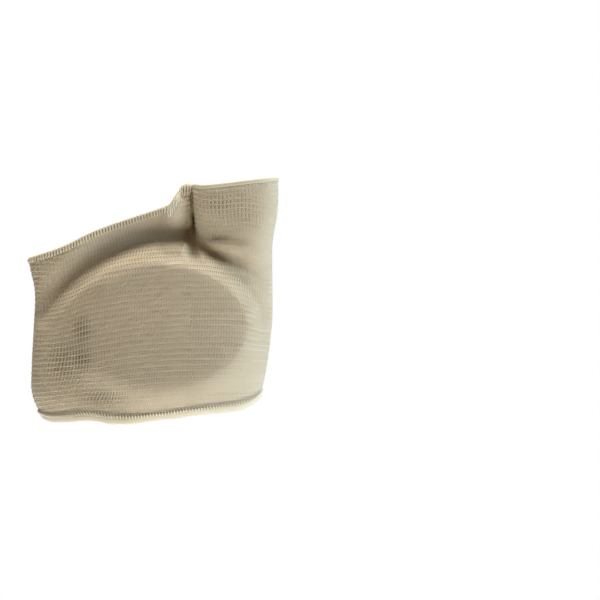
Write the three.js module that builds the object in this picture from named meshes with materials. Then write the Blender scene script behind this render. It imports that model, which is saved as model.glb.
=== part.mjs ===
// A sleeve that corrects a bunion, in its worn form: an elastic knit tube that forks into a big-toe loop and
// a broad four-toe lobe with a slanted open edge, with a hem at the cuff and a gel pad inside its sole.
// Millimetres. +Z points to the toe edges, -Y is the sole and +Y the instep, +X is the big-toe loop's side.
// The origin is the middle of the cuff opening.
import * as THREE from "three";
import { LoftGeometry } from "three/addons/geometries/LoftGeometry.js";

// Driving dimensions
const WALL = 1.2; // thickness of the knit
const SEAM_WIDTH = 0.8; // strip of the seam that joins sole and instep beside the big-toe loop
const WEB_Z = 70.2; // lower end of that seam, in the fork of the sleeve
const SPLIT_RUN = 3.5; // height below the web over which one tube becomes two, at the seam
const SPLIT_SPREAD = { more: 14, near: 1, far: 16 }; // and how much more, from near the seam to far from it
const ROUNDNESS = 2.35; // 2 is an ellipse, more is squarer
const SEAM_ROUNDNESS = 5; // both lobes are squarer beside the seam
const BIG_TOE_ROUNDNESS = 2.8; // and the big-toe lobe is a little at its other side
const RUN_OUT = 4.8; // depth of the form under which the folds and the pad's swell run out to the side edges
const INNER_LEAST = 0.15; // depth that the inner face keeps off the middle plane
const CUFF_RISE = 6; // how much higher the cuff is on the instep
const TOE_EDGE_DROP = 3; // how much lower the toe edges are on the instep

const TOES_COLUMNS = 18; // grid steps across the four-toe lobe
const BIG_TOE_COLUMNS = 12; // grid steps across the big-toe lobe
const ROWS_BELOW_WEB = 20;
const ROWS_ABOVE_WEB = 7;
const ROW_EASE = 1.3; // 1 spaces the rows evenly, more draws them closer to the web
const BEAD_SIDES = 8;
const FOLD_STEPS = 40; // stops along a fold's line
const SETTLE_PASSES = 8; // rounds in which a point's height and breadth settle together

// The worn form, from the cuff to the toe edges: the two side edges, then the depth of the knit in front of
// and behind the middle plane.
const SECTIONS = [
  { z: -4, lateral: -40, medial: 42.5, sole: 16.2, instep: 25 },
  { z: 8, lateral: -46, medial: 45, sole: 17.8, instep: 24 },
  { z: 20, lateral: -46.4, medial: 47.4, sole: 18, instep: 22 },
  { z: 36, lateral: -45.6, medial: 49.5, sole: 16.5, instep: 19.5 },
  { z: 50, lateral: -45.2, medial: 49.8, sole: 14, instep: 17 },
  { z: 60, lateral: -47.2, medial: 49.6, sole: 12.5, instep: 15 },
  { z: 70, lateral: -48, medial: 49.8, sole: 11.5, instep: 14 },
  { z: 82, lateral: -48, medial: 51.8, sole: 11, instep: 13 },
  { z: 96, lateral: -48, medial: 52, sole: 11, instep: 13 },
];

// The same two depths for the four-toe lobe and for the big-toe lobe, where the sleeve has forked.
const LOBE_SECTIONS = [
  { z: 50, toes: 11, toesBack: 13, bigToe: 13, bigToeBack: 14 },
  { z: 60, toes: 11, toesBack: 13, bigToe: 13, bigToeBack: 14 },
  { z: 70, toes: 10.5, toesBack: 12, bigToe: 13, bigToeBack: 14 },
  { z: 82, toes: 10, toesBack: 11, bigToe: 13, bigToeBack: 13.5 },
  { z: 96, toes: 9, toesBack: 10, bigToe: 13, bigToeBack: 13.5 },
];

// The line of the seam beside the big-toe loop, carried on down to the cuff.
const SEAM_LINE = [
  { z: -4, x: 14 },
  { z: 40, x: 17 },
  { z: 67, x: 18.8 },
  { z: 80, x: 18.2 },
  { z: 94, x: 17.4 },
];

// Lower edge of the knit along the sole, from the lateral side to the medial side.
const CUFF_EDGE = [
  { x: -46, z: 2.5 },
  { x: -39.5, z: 0.4 },
  { x: -34, z: 0.3 },
  { x: -23, z: 1.3 },
  { x: -14, z: 0.1 },
  { x: -6, z: 0 },
  { x: 5, z: 1.2 },
  { x: 16, z: 2.7 },
  { x: 29, z: 4.2 },
  { x: 37, z: 5.3 },
  { x: 42, z: 7 },
  { x: 46, z: 10 },
];

// Upper edge of the knit along the sole: the slanted four-toe edge, then over the seam to the loop.
const TOE_EDGE = [
  { x: -48.4, z: 60.8 },
  { x: -35, z: 65 },
  { x: -19, z: 72.2 },
  { x: -3, z: 77.8 },
  { x: 5, z: 80.4 },
  { x: 9, z: 82.3 },
  { x: 11.5, z: 86 },
  { x: 14, z: 89.6 },
  { x: 18, z: 90.8 },
  { x: 22, z: 90.4 },
  { x: 33, z: 91.4 },
  { x: 52, z: 93.8 },
];

// Creases and rolls of the sole side, each along a bent line: its ends, the point that bends it, its depth,
// how far it reaches below and above the line, how round its bottom is, and the shares of the line where it
// starts to fade and where it would be gone. A roll has a negative depth.
const FOLDS = [
  { name: "ball_crease", from: [19, 70.2], via: [-11, 77], to: [-42, 40],
    depth: 6.2, below: 4.3, above: 9, rounding: 1, fades: 0.2, gone: 1.8 },
  { name: "ball_roll", from: [2, 64.5], via: [-14, 60], to: [-28, 47],
    depth: -1, below: 5, above: 4, rounding: 1, fades: 0.6, gone: 1.1 },
  { name: "web_dip", from: [18.9, 66], via: [17, 72], to: [15, 77],
    depth: 8.4, below: 4, above: 5.5, rounding: 1, fades: 0.55, gone: 1.05 },
  { name: "loop_crease", from: [20, 70.2], via: [30, 70.4], to: [44, 67.5],
    depth: 4.6, below: 2.6, above: 11, rounding: 2, fades: 0.2, gone: 1.05 },
  { name: "loop_roll", from: [23, 66.2], via: [30, 69.4], to: [41, 66.5],
    depth: -1.2, below: 2, above: 2, rounding: 1, fades: 0.5, gone: 1.05 },
  { name: "joint_crease", from: [18.6, 68.6], via: [27, 63.8], to: [44, 58],
    depth: 8.4, below: 3.5, above: 5.5, rounding: 1, fades: 0, gone: 1.05 },
  { name: "web_roll", from: [11, 81], via: [12, 84], to: [14.5, 88],
    depth: -2.4, below: 5.5, above: 5.5, rounding: 1, fades: 0.55, gone: 1.05 },
];
const FOLD_SHARPNESS = 1.25; // 1 is a plain V

const PAD = { x: 3.3, z: 35.8, halfWidth: 38.5, halfHeight: 26, thickness: 4.8, edge: 0.9, gap: 0.3 };
const PAD_FLATNESS = 4; // 2 is a plain lens, more keeps its thickness further out
// How the pad lifts the knit, in shares of its own reach: up to the crown it is flat, and past the end
// nothing. The crown's edge is softer towards the lateral side, and the end lies further out towards the cuff.
// An edge of 1 is crisp, and one of 0 round.
const SWELL = { rise: 4.2, crown: 0.95, softCrown: 0.6, end: 1.15, lowEnd: 1.45, edge: 0.5 };
const PAD_SLICES = 14;
const PAD_STEPS = 10;
const PAD_BRIDGE = 2; // width of a groove that the pad lies over instead of dipping into it
const PAD_END_ANGLE = 1.48; // radians from the middle slice to the last ones

// The edge finishes, as beads beyond the edge of the knit: half across the wall, half along it, and the gap
// to the knit.
const OVERLOCK = { halfWidth: 1.4, halfHeight: 1.15, gap: 0.3 };
const TOE_RIM = { halfWidth: 0.9, halfHeight: 0.6, gap: 0.3 };
const HEM = { halfWidth: 1.2, halfHeight: 1.45, gap: 0.6 };

const KNIT_BEIGE = new THREE.MeshStandardMaterial({ color: 0xb3a68a, roughness: 0.95, metalness: 0 });
const EDGE_CREAM = new THREE.MeshStandardMaterial({ color: 0xd3cbb2, roughness: 0.9, metalness: 0 });
const GEL_CLEAR = new THREE.MeshStandardMaterial({ color: 0xe6e0d2, roughness: 0.35, metalness: 0 });

// A smooth curve through one column of a table, read at a place along another column.
function readTable(table, key, column, at) {
  const last = table.length - 1;
  const place = THREE.MathUtils.clamp(at, table[0][key], table[last][key]);
  let i = 0;
  while (i < last - 1 && table[i + 1][key] < place) i++;
  const slope = (n) => {
    const before = table[Math.max(n - 1, 0)];
    const after = table[Math.min(n + 1, last)];
    return (after[column] - before[column]) / (after[key] - before[key]);
  };
  const step = table[i + 1][key] - table[i][key];
  const t = (place - table[i][key]) / step;
  const rise = t * t * (3 - 2 * t);
  return (
    table[i][column] * (1 - rise) +
    table[i + 1][column] * rise +
    slope(i) * step * t * (1 - t) * (1 - t) -
    slope(i + 1) * step * t * t * (1 - t)
  );
}

// Half of a rounded section: 1 in the middle, 0 at both ends of low to high.
function archAcross(x, low, high, lowRoundness = ROUNDNESS, highRoundness = ROUNDNESS) {
  const t = THREE.MathUtils.clamp((2 * x - low - high) / (high - low), -1, 1);
  const power = t < 0 ? lowRoundness : highRoundness;
  return (1 - Math.abs(t) ** power) ** (1 / power);
}

const foldLines = FOLDS.map((fold) => {
  const ends = [fold.from, fold.via, fold.to].map(([x, z]) => new THREE.Vector2(x, z));
  return { ...fold, points: new THREE.QuadraticBezierCurve(...ends).getPoints(FOLD_STEPS) };
});

// How far the folds press the sole side in at a place. Where creases meet, the deepest counts.
function foldDepth(x, z) {
  const here = new THREE.Vector2(x, z);
  let pressed = 0;
  let raised = 0;
  for (const { depth, below, above, rounding, fades, gone, points } of foldLines) {
    const distances = points.map((p) => p.distanceTo(here));
    const nearest = Math.min(...distances);
    const stop = distances.indexOf(nearest);
    const strength = 1 - THREE.MathUtils.smoothstep(stop / FOLD_STEPS, fades, gone);
    const distance = Math.hypot(nearest, rounding) - rounding;
    const share = Math.min(distance / (z > points[stop].y ? above : below), 1);
    const reach = depth * strength * (1 - share) ** FOLD_SHARPNESS;
    pressed = Math.max(pressed, reach);
    raised = Math.min(raised, reach);
  }
  return pressed + raised;
}

// How far the pad lifts the sole side out at a place: a flat crown, a crisp edge and a slope that runs out.
function padRise(x, z) {
  const reach = Math.hypot((x - PAD.x) / PAD.halfWidth, (z - PAD.z) / PAD.halfHeight);
  const soft = THREE.MathUtils.smoothstep(PAD.x - x, 0, PAD.halfWidth);
  const low = THREE.MathUtils.smoothstep(PAD.z - z, 0, PAD.halfHeight);
  const crown = THREE.MathUtils.lerp(SWELL.crown, SWELL.softCrown, soft);
  const end = THREE.MathUtils.lerp(SWELL.end, SWELL.lowEnd, low * (1 - soft));
  const left = 1 - THREE.MathUtils.clamp((reach - crown) / (end - crown), 0, 1);
  return SWELL.rise * left ** 2 * THREE.MathUtils.lerp(3 - 2 * left, 1, SWELL.edge * (1 - soft));
}

// Columns of the grid, as shares of the breadth of their lobe, closer together at its ends.
const columns = [];
for (const [lobe, steps] of [["toes", TOES_COLUMNS], ["bigToe", BIG_TOE_COLUMNS]]) {
  for (let i = 0; i <= steps; i++) columns.push({ lobe, share: (1 - Math.cos((Math.PI * i) / steps)) / 2 });
}
const SEAM_LEFT = TOES_COLUMNS;
const SEAM_RIGHT = TOES_COLUMNS + 1;

// Side edges of a lobe at a height. The knit's inner face is set in by the wall.
function lobeEdges(lobe, z, inset) {
  const seam = readTable(SEAM_LINE, "z", "x", z);
  if (lobe === "toes") return [readTable(SECTIONS, "z", "lateral", z) + inset, seam - SEAM_WIDTH / 2];
  return [seam + SEAM_WIDTH / 2, readTable(SECTIONS, "z", "medial", z) - inset];
}

// Depth of the knit from the middle plane. Below the web it is the whole sleeve's, above it the lobe's own.
function depthAt(lobe, x, z, side, inset) {
  const read = (column) => readTable(SECTIONS, "z", column, z);
  const whole = read(side < 0 ? "sole" : "instep") - inset;
  const own = readTable(LOBE_SECTIONS, "z", lobe + (side < 0 ? "" : "Back"), z) - inset;
  const [low, high] = lobeEdges(lobe, z, inset);
  const wholeDepth = whole * archAcross(x, read("lateral") + inset, read("medial") - inset);
  const ends = lobe === "toes" ? [ROUNDNESS, SEAM_ROUNDNESS] : [SEAM_ROUNDNESS, BIG_TOE_ROUNDNESS];
  const lobeDepth = own * archAcross(x, low, high, ...ends);
  const fromSeam = Math.abs(x - readTable(SEAM_LINE, "z", "x", z));
  const far = THREE.MathUtils.smoothstep(fromSeam, SPLIT_SPREAD.near, SPLIT_SPREAD.far);
  const run = SPLIT_RUN + SPLIT_SPREAD.more * far;
  const split = THREE.MathUtils.smoothstep(z, WEB_Z - run, WEB_Z);
  const depth = THREE.MathUtils.lerp(wholeDepth, lobeDepth, split);
  if (side > 0) return depth;
  const open = THREE.MathUtils.smoothstep(depth, 0, RUN_OUT);
  return depth + open * (padRise(x, z) - foldDepth(x, z));
}

// A point of the knit: along a column, at a share of the way from the cuff to the toe edge.
function knitPoint(column, share, side, inset) {
  const { lobe, share: across } = columns[column];
  const bow = side > 0 ? Math.sin(Math.PI * across) : 0;
  const cuffRise = side > 0 ? CUFF_RISE : 0;
  let x = 0;
  let z = WEB_Z / 2;
  for (let pass = 0; pass < SETTLE_PASSES; pass++) {
    const [low, high] = lobeEdges(lobe, z, inset);
    x = THREE.MathUtils.lerp(low, high, across);
    const breadth = readTable(SECTIONS, "z", "medial", z) - readTable(SECTIONS, "z", "lateral", z);
    const cuff = readTable(CUFF_EDGE, "x", "z", x) + cuffRise * Math.max(1 - ((2 * x) / breadth) ** 2, 0);
    z = THREE.MathUtils.lerp(cuff, readTable(TOE_EDGE, "x", "z", x) - TOE_EDGE_DROP * bow, share);
  }
  const fold = column === 0 || column === columns.length - 1;
  const least = inset > 0 ? INNER_LEAST : WALL;
  const depth = fold ? 0 : Math.max(depthAt(lobe, x, z, side, inset), least);
  return new THREE.Vector3(x, side * depth, z);
}

// Rows of the grid, as shares of the height. One row lies on the web.
const seamX = readTable(SEAM_LINE, "z", "x", WEB_Z);
const seamCuff = readTable(CUFF_EDGE, "x", "z", seamX);
const seamTop = readTable(TOE_EDGE, "x", "z", seamX);
const webShare = (WEB_Z - seamCuff) / (seamTop - seamCuff);
const rows = [];
for (let j = 0; j < ROWS_BELOW_WEB; j++) rows.push(webShare * (1 - (1 - j / ROWS_BELOW_WEB) ** ROW_EASE));
for (let j = 0; j <= ROWS_ABOVE_WEB; j++) rows.push(webShare + ((1 - webShare) * j) / ROWS_ABOVE_WEB);
const WEB_ROW = ROWS_BELOW_WEB;
const TOP_ROW = rows.length - 1;

// Once round the sleeve: the sole from the lateral side to the medial side, and back over the instep.
const around = columns.map((_, column) => ({ column, side: -1 }));
for (let column = columns.length - 2; column > 0; column--) around.push({ column, side: 1 });

// The knit as one closed wall. Its two inner faces meet along both sides of the seam strip above the web.
function knitSleeve() {
  const points = [];
  const faces = [];
  const welded = new Map();
  const addPoint = (point) => points.push(point.x, point.y, point.z) / 3 - 1;
  const onSeam = (column) => column === SEAM_LEFT || column === SEAM_RIGHT;
  const outer = rows.map((share) =>
    around.map(({ column, side }) => addPoint(knitPoint(column, share, side, 0))),
  );
  const inner = rows.map((share, j) =>
    around.map(({ column, side }) => {
      const point = knitPoint(column, share, side, WALL);
      if (j < WEB_ROW || !onSeam(column)) return addPoint(point);
      const key = `${j} ${column}`;
      if (!welded.has(key)) welded.set(key, addPoint(point.setY(0)));
      return welded.get(key);
    }),
  );
  const pointAt = (n) => new THREE.Vector3().fromArray(points, 3 * n);
  const span = (a, b) => pointAt(a).distanceTo(pointAt(b));
  const addQuad = (a, b, c, d) => {
    const corners = span(a, c) < span(b, d) ? [a, b, c, a, c, d] : [a, b, d, b, c, d];
    faces.push(...corners);
  };
  around.forEach(({ column }, k) => {
    const next = (k + 1) % around.length;
    const inStrip = onSeam(column) && onSeam(around[next].column);
    for (let j = 0; j < TOP_ROW; j++) {
      addQuad(outer[j][k], outer[j][next], outer[j + 1][next], outer[j + 1][k]);
      if (j < WEB_ROW || !inStrip) addQuad(inner[j][next], inner[j][k], inner[j + 1][k], inner[j + 1][next]);
    }
    addQuad(inner[0][k], inner[0][next], outer[0][next], outer[0][k]);
    addQuad(outer[TOP_ROW][k], outer[TOP_ROW][next], inner[TOP_ROW][next], inner[TOP_ROW][k]);
  });
  const geometry = new THREE.BufferGeometry();
  geometry.setAttribute("position", new THREE.Float32BufferAttribute(points, 3));
  geometry.setIndex(faces);
  return geometry;
}

// A bead beyond an edge of the knit. The stops are places round the sleeve, in order.
function edgeBead(stops, row, { halfWidth, halfHeight, gap }, closed) {
  const nextRow = row === 0 ? 1 : row - 1;
  const turn = row === 0 ? -1 : 1;
  const sections = stops.map(({ column, side }) => {
    const outside = knitPoint(column, rows[row], side, 0);
    const inside = knitPoint(column, rows[row], side, WALL);
    const middle = outside.clone().lerp(inside, 0.5);
    const away = outside.clone().sub(knitPoint(column, rows[nextRow], side, 0)).normalize();
    const across = outside.clone().sub(inside);
    across.addScaledVector(away, -across.dot(away)).normalize();
    middle.addScaledVector(away, gap + halfHeight);
    return Array.from({ length: BEAD_SIDES }, (_, n) => {
      const angle = (turn * 2 * Math.PI * (n + 0.5)) / BEAD_SIDES;
      return middle
        .clone()
        .addScaledVector(away, halfHeight * Math.cos(angle))
        .addScaledVector(across, halfWidth * Math.sin(angle));
    });
  });
  if (closed) sections.push(sections[0].map((point) => point.clone()));
  return new LoftGeometry(sections, { capStart: !closed, capEnd: !closed });
}

// Places round the four-toe lobe, from the seam over the instep and back along the sole, and round the
// big-toe lobe, from the seam along the sole and back over the instep.
const soleStops = around.filter(({ side }) => side < 0);
const instepStops = around.filter(({ side }) => side > 0);
const toesStops = [...instepStops, ...soleStops].filter(({ column }) => column <= SEAM_LEFT);
const bigToeStops = around.filter(({ column }) => column >= SEAM_RIGHT);

// Depth of the knit's inner face at a place, or of the shallowest place near it, where the pad can lie.
function padBed(x, z) {
  const reach = [-PAD_BRIDGE, 0, PAD_BRIDGE];
  const depths = reach.flatMap((dx) =>
    reach.map((dz) => {
      const lobe = x + dx < readTable(SEAM_LINE, "z", "x", z + dz) ? "toes" : "bigToe";
      return depthAt(lobe, x + dx, z + dz, -1, WALL);
    }),
  );
  return Math.min(...depths);
}

// The gel pad, a lens that lies on the inner face of the sole and fills the room that the knit bulges by.
// It is lofted through level slices, each along its outer face and back along its inner one.
function gelPad() {
  const padPoint = (level, across, lift) => {
    const u = Math.cos(level) * across;
    const v = Math.sin(level);
    const x = PAD.x + PAD.halfWidth * u;
    const z = PAD.z + PAD.halfHeight * v;
    const thickness = PAD.edge + (PAD.thickness - PAD.edge) * (1 - Math.hypot(u, v) ** PAD_FLATNESS);
    return new THREE.Vector3(x, PAD.gap + lift * thickness - padBed(x, z), z);
  };
  const steps = Array.from({ length: PAD_STEPS + 1 }, (_, n) => Math.sin(Math.PI * (n / PAD_STEPS - 0.5)));
  const sections = [];
  for (let n = 0; n <= PAD_SLICES; n++) {
    const level = PAD_END_ANGLE * ((2 * n) / PAD_SLICES - 1);
    const outerFace = steps.map((across) => padPoint(level, across, 0));
    const innerFace = steps.map((across) => padPoint(level, -across, 1));
    sections.push([...outerFace, ...innerFace]);
  }
  return new LoftGeometry(sections, { capStart: true, capEnd: true });
}

const sleeve = new THREE.Group();
function addPiece(name, geometry, material) {
  const mesh = new THREE.Mesh(geometry, material);
  mesh.name = name;
  sleeve.add(mesh);
}
addPiece("knit_sleeve", knitSleeve(), KNIT_BEIGE);
addPiece("gel_pad", gelPad(), GEL_CLEAR);
addPiece("toes_overlock", edgeBead(toesStops, TOP_ROW, OVERLOCK, false), EDGE_CREAM);
addPiece("big_toe_rim", edgeBead(bigToeStops, TOP_ROW, TOE_RIM, false), EDGE_CREAM);
addPiece("cuff_hem", edgeBead(around, 0, HEM, true), EDGE_CREAM);

export default sleeve;
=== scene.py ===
# %% [markdown]
# A bunion corrector is a short elastic sleeve. It forks into a big-toe loop and a broad four-toe lobe with a
# slanted open edge, and it has a stitched hem at the cuff and a gel pad inside the sole.
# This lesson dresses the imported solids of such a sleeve: the solids stay as the frame, in metres, and every
# soft piece is modelled again at full detail in the same place, so that nothing has to be fitted afterwards.

# %% Load the frame
import math

import bpy
import numpy as np
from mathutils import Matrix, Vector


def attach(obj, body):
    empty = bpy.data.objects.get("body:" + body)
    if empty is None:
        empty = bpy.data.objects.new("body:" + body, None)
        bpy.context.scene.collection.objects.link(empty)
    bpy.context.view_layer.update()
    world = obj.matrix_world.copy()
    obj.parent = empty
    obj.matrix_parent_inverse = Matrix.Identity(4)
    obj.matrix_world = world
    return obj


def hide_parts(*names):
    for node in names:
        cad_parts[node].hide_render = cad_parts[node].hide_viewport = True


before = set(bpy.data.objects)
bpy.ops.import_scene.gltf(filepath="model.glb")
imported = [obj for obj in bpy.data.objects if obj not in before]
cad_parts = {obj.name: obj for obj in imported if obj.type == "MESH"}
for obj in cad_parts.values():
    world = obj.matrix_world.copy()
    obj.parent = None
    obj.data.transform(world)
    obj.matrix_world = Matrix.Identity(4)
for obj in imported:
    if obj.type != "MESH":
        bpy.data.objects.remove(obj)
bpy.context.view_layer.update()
scene = bpy.context.scene
MM = 0.001

# %% [markdown]
# The sleeve is seen square on to its sole, with the toe edges up. A camera far away with a long lens keeps
# the outline almost free of perspective. It looks straight ahead and is only moved sideways, so the lens
# needs no shift and a view from any other side stays centred on the object.

# %% Camera
PHOTO_WIDTH = 600  # pixels
MM_PER_PIXEL = 0.4  # at the plane between sole and instep
ORIGIN_PIXEL = (148, 416)  # where the frame's origin is seen
CAMERA_DISTANCE = 1.3  # metres from that plane
SENSOR_WIDTH = 36.0  # millimetres

camera_data = bpy.data.cameras.new("camera")
camera_data.sensor_width = SENSOR_WIDTH
camera_data.lens = SENSOR_WIDTH * CAMERA_DISTANCE / (PHOTO_WIDTH * MM_PER_PIXEL * MM)
camera = bpy.data.objects.new("camera", camera_data)
view_x = (PHOTO_WIDTH / 2 - ORIGIN_PIXEL[0]) * MM_PER_PIXEL * MM
view_z = (ORIGIN_PIXEL[1] - PHOTO_WIDTH / 2) * MM_PER_PIXEL * MM
camera.location = (view_x, -CAMERA_DISTANCE, view_z)
camera.rotation_euler = (math.radians(90), 0, 0)
scene.collection.objects.link(camera)
scene.camera = camera
print("lens", round(camera_data.lens, 1), "mm")

# %% [markdown]
# The light is a white studio. A large soft lamp at the side of the big-toe loop and one above do most of the
# work, and leave the other side darker, which shows the bulge of the pad and the creases. Weaker lamps
# open the shadows: from the far side, from below and from behind. The world looks white to the camera but
# lights the cloth with less, or the relief would drown. The floor lies far below. It glows a little, so that
# it looks pale from above, and is hidden from the rays that leave the cloth, so that it adds no light there.

# %% World, lamps and floor
WORLD_LIGHT = 0.137
ROOM_COLOUR = (1.0, 0.82, 0.55, 1)  # of the light that the cloth gets
WHITE = (1, 1, 1, 1)
LAMPS = [
    # name, place in metres, size in metres, power in watts, colour
    ("side_lamp", (1.00, -0.16, 0.15), 0.7, 13.6, (0.62, 0.81, 1.0)),
    ("top_lamp", (0.05, -0.12, 1.10), 0.8, 16.6, (1.0, 0.975, 0.95)),
    ("far_side_lamp", (-1.00, -0.20, 0.15), 0.7, 2.2, (0.82, 0.92, 1.0)),
    ("low_lamp", (0.05, -0.28, -0.60), 0.4, 6.0, (0.93, 0.97, 1.0)),
    ("back_lamp", (-0.35, 1.10, 0.45), 0.8, 8.0, (1.0, 0.97, 0.93)),
]
LAMP_AIM = np.array([0.0, 0.0, 0.045])
FLOOR_PAINT = {
    "Base Color": (0.85, 0.85, 0.85, 1),
    "Roughness": 0.9,
    "Emission Color": WHITE,
    "Emission Strength": 0.62,
}
FLOOR_Z = -0.80
FLOOR_HALF = 4.0


def new_finish(name, settings):
    """A new finish with some inputs of its shader set, its node tree and that shader."""
    finish = bpy.data.materials.new(name)
    finish.use_nodes = True
    shader = finish.node_tree.nodes["Principled BSDF"]
    for label, value in settings.items():
        shader.inputs[label].default_value = value
    return finish, finish.node_tree, shader


scene.view_settings.view_transform = "Standard"
world = bpy.data.worlds.new("studio")
scene.world = world
world.use_nodes = True
sky = world.node_tree
sky.nodes.clear()
sky_out = sky.nodes.new("ShaderNodeOutputWorld")
sky_pick = sky.nodes.new("ShaderNodeMixShader")
sky_ray = sky.nodes.new("ShaderNodeLightPath")
sky_room = sky.nodes.new("ShaderNodeBackground")
sky_room.inputs["Color"].default_value = ROOM_COLOUR
sky_room.inputs["Strength"].default_value = WORLD_LIGHT
sky_white = sky.nodes.new("ShaderNodeBackground")
sky_white.inputs["Color"].default_value = WHITE
sky.links.new(sky_ray.outputs["Is Camera Ray"], sky_pick.inputs["Fac"])
sky.links.new(sky_room.outputs[0], sky_pick.inputs[1])
sky.links.new(sky_white.outputs[0], sky_pick.inputs[2])
sky.links.new(sky_pick.outputs[0], sky_out.inputs["Surface"])

for lamp_name, place, size, power, tint in LAMPS:
    lamp_data = bpy.data.lights.new(lamp_name, "AREA")
    lamp_data.size = size
    lamp_data.energy = power
    lamp_data.color = tint
    lamp = bpy.data.objects.new(lamp_name, lamp_data)
    lamp.location = place
    aim = Vector(LAMP_AIM - np.array(place))
    lamp.rotation_euler = aim.to_track_quat("-Z", "Y").to_euler()
    lamp.visible_camera = False
    scene.collection.objects.link(lamp)

floor_paint, _, _ = new_finish("pale_floor", FLOOR_PAINT)
floor_mesh = bpy.data.meshes.new("floor")
floor_mesh.from_pydata(
    [(x, y, FLOOR_Z) for x, y in ((-1, -1), (1, -1), (1, 1), (-1, 1))], [], [(0, 1, 2, 3)]
)
floor_mesh.transform(Matrix.Diagonal((FLOOR_HALF, FLOOR_HALF, 1, 1)))
floor_mesh.materials.append(floor_paint)
floor = bpy.data.objects.new("floor", floor_mesh)
floor.visible_diffuse = False
floor.visible_glossy = False
scene.collection.objects.link(floor)
print("lamps:", [name for name, *_ in LAMPS])

# %% [markdown]
# Stretched cloth takes the form of what it is worn on, so that form comes first, as a few smooth curves: the
# two side edges and the depths of the sleeve against height, the slanted toe edge, the cuff, the seam beside
# the big-toe loop, and the creases. They are in millimetres and have the values of the solids in the frame.

# %% The worn form
WALL = 1.2  # thickness of the knit
SEAM_WIDTH = 0.8  # strip of the seam that joins sole and instep beside the big-toe loop
WEB_Z = 70.2  # lower end of that seam, in the fork of the sleeve
SPLIT_RUN = 3.5  # height below the web over which one tube becomes two, at the seam
SPLIT_SPREAD = 14.0  # and this much more away from it
SPLIT_NEAR, SPLIT_FAR = 1, 16  # distances from the seam between which that grows
ROUNDNESS = 2.35  # 2 is an ellipse, more is squarer
SEAM_ROUNDNESS = 5.0  # both lobes are squarer beside the seam
BIG_TOE_ROUNDNESS = 2.8  # and the big-toe lobe is a little at its other side
RUN_OUT = 4.8  # depth under which the folds and the pad's swell run out to the side edges
INNER_LEAST = 0.15  # depth that the inner face keeps off the middle plane
CUFF_RISE = 6.0  # the cuff is higher on the instep
TOE_EDGE_DROP = 3.0  # the toe edges are lower on the instep

# At each height: the two side edges, then the depths of the whole sleeve and of the two lobes
SECTION_COLUMNS = (
    "z", "lateral", "medial", "sole", "instep", "toes", "toes_back", "big_toe", "big_toe_back",
)
SECTIONS = [
    (-4, -40, 42.5, 16.2, 25, 11, 13, 13, 14),
    (8, -46, 45, 17.8, 24, 11, 13, 13, 14),
    (20, -46.4, 47.4, 18, 22, 11, 13, 13, 14),
    (36, -45.6, 49.5, 16.5, 19.5, 11, 13, 13, 14),
    (50, -45.2, 49.8, 14, 17, 11, 13, 13, 14),
    (60, -47.2, 49.6, 12.5, 15, 11, 13, 13, 14),
    (70, -48, 49.8, 11.5, 14, 10.5, 12, 13, 14),
    (82, -48, 51.8, 11, 13, 10, 11, 13, 13.5),
    (96, -48, 52, 11, 13, 9, 10, 13, 13.5),
]
SEAM_LINE = [(-4, 14), (40, 17), (67, 18.8), (80, 18.2), (94, 17.4)]  # z, x
CUFF_EDGE = [  # x, z
    (-46, 2.5), (-39.5, 0.4), (-34, 0.3), (-23, 1.3), (-14, 0.1), (-6, 0),
    (5, 1.2), (16, 2.7), (29, 4.2), (37, 5.3), (42, 7), (46, 10),
]
TOE_EDGE = [  # x, z
    (-48.4, 60.8), (-35, 65), (-19, 72.2), (-3, 77.8), (5, 80.4), (9, 82.3),
    (11.5, 86), (14, 89.6), (18, 90.8), (22, 90.4), (33, 91.4), (52, 93.8),
]
FOLDS = [
    # name, start (x, z), bend, end, depth, reach below and above, rounding, shares where it fades and is gone
    ("ball_crease", (19, 70.2), (-11, 77), (-42, 40), 6.2, 4.3, 9.0, 1.0, 0.2, 1.8),
    ("ball_roll", (2, 64.5), (-14, 60), (-28, 47), -1.0, 5.0, 4.0, 1.0, 0.6, 1.1),
    ("web_dip", (18.9, 66), (17, 72), (15, 77), 8.4, 4.0, 5.5, 1.0, 0.55, 1.05),
    ("loop_crease", (20, 70.2), (30, 70.4), (44, 67.5), 4.6, 2.6, 11.0, 2.0, 0.2, 1.05),
    ("loop_roll", (23, 66.2), (30, 69.4), (41, 66.5), -1.2, 2.0, 2.0, 1.0, 0.5, 1.05),
    ("joint_crease", (18.6, 68.6), (27, 63.8), (44, 58), 8.4, 3.5, 5.5, 1.0, 0.0, 1.05),
    ("web_roll", (11, 81), (12, 84), (14.5, 88), -2.4, 5.5, 5.5, 1.0, 0.55, 1.05),
]
PAD = {"x": 3.3, "z": 35.8, "half_width": 38.5, "half_height": 26.0, "thickness": 4.8, "edge": 0.9}
# Shares of the pad's reach where its crown stops being flat and where its slope ends. An edge of 1 is crisp.
SWELL = {"rise": 4.2, "crown": 0.95, "soft_crown": 0.6, "end": 1.15, "low_end": 1.45, "edge": 0.5}


def curve_through(points):
    """A smooth function through a few (place, value) points."""
    keys, values = (np.array(column, float) for column in zip(*points))
    slopes = np.gradient(values, keys)
    slopes[1:-1] = (values[2:] - values[:-2]) / (keys[2:] - keys[:-2])

    def read(at):
        at = np.clip(at, keys[0], keys[-1])
        i = np.clip(np.searchsorted(keys, at) - 1, 0, len(keys) - 2)
        step = keys[i + 1] - keys[i]
        t = (at - keys[i]) / step
        rise = t * t * (3 - 2 * t)
        bend = step * t * (1 - t) * (slopes[i] * (1 - t) - slopes[i + 1] * t)
        return values[i] * (1 - rise) + values[i + 1] * rise + bend

    return read


def smooth_step(value, low, high):
    t = np.clip((value - low) / (high - low), 0, 1)
    return t * t * (3 - 2 * t)


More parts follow.
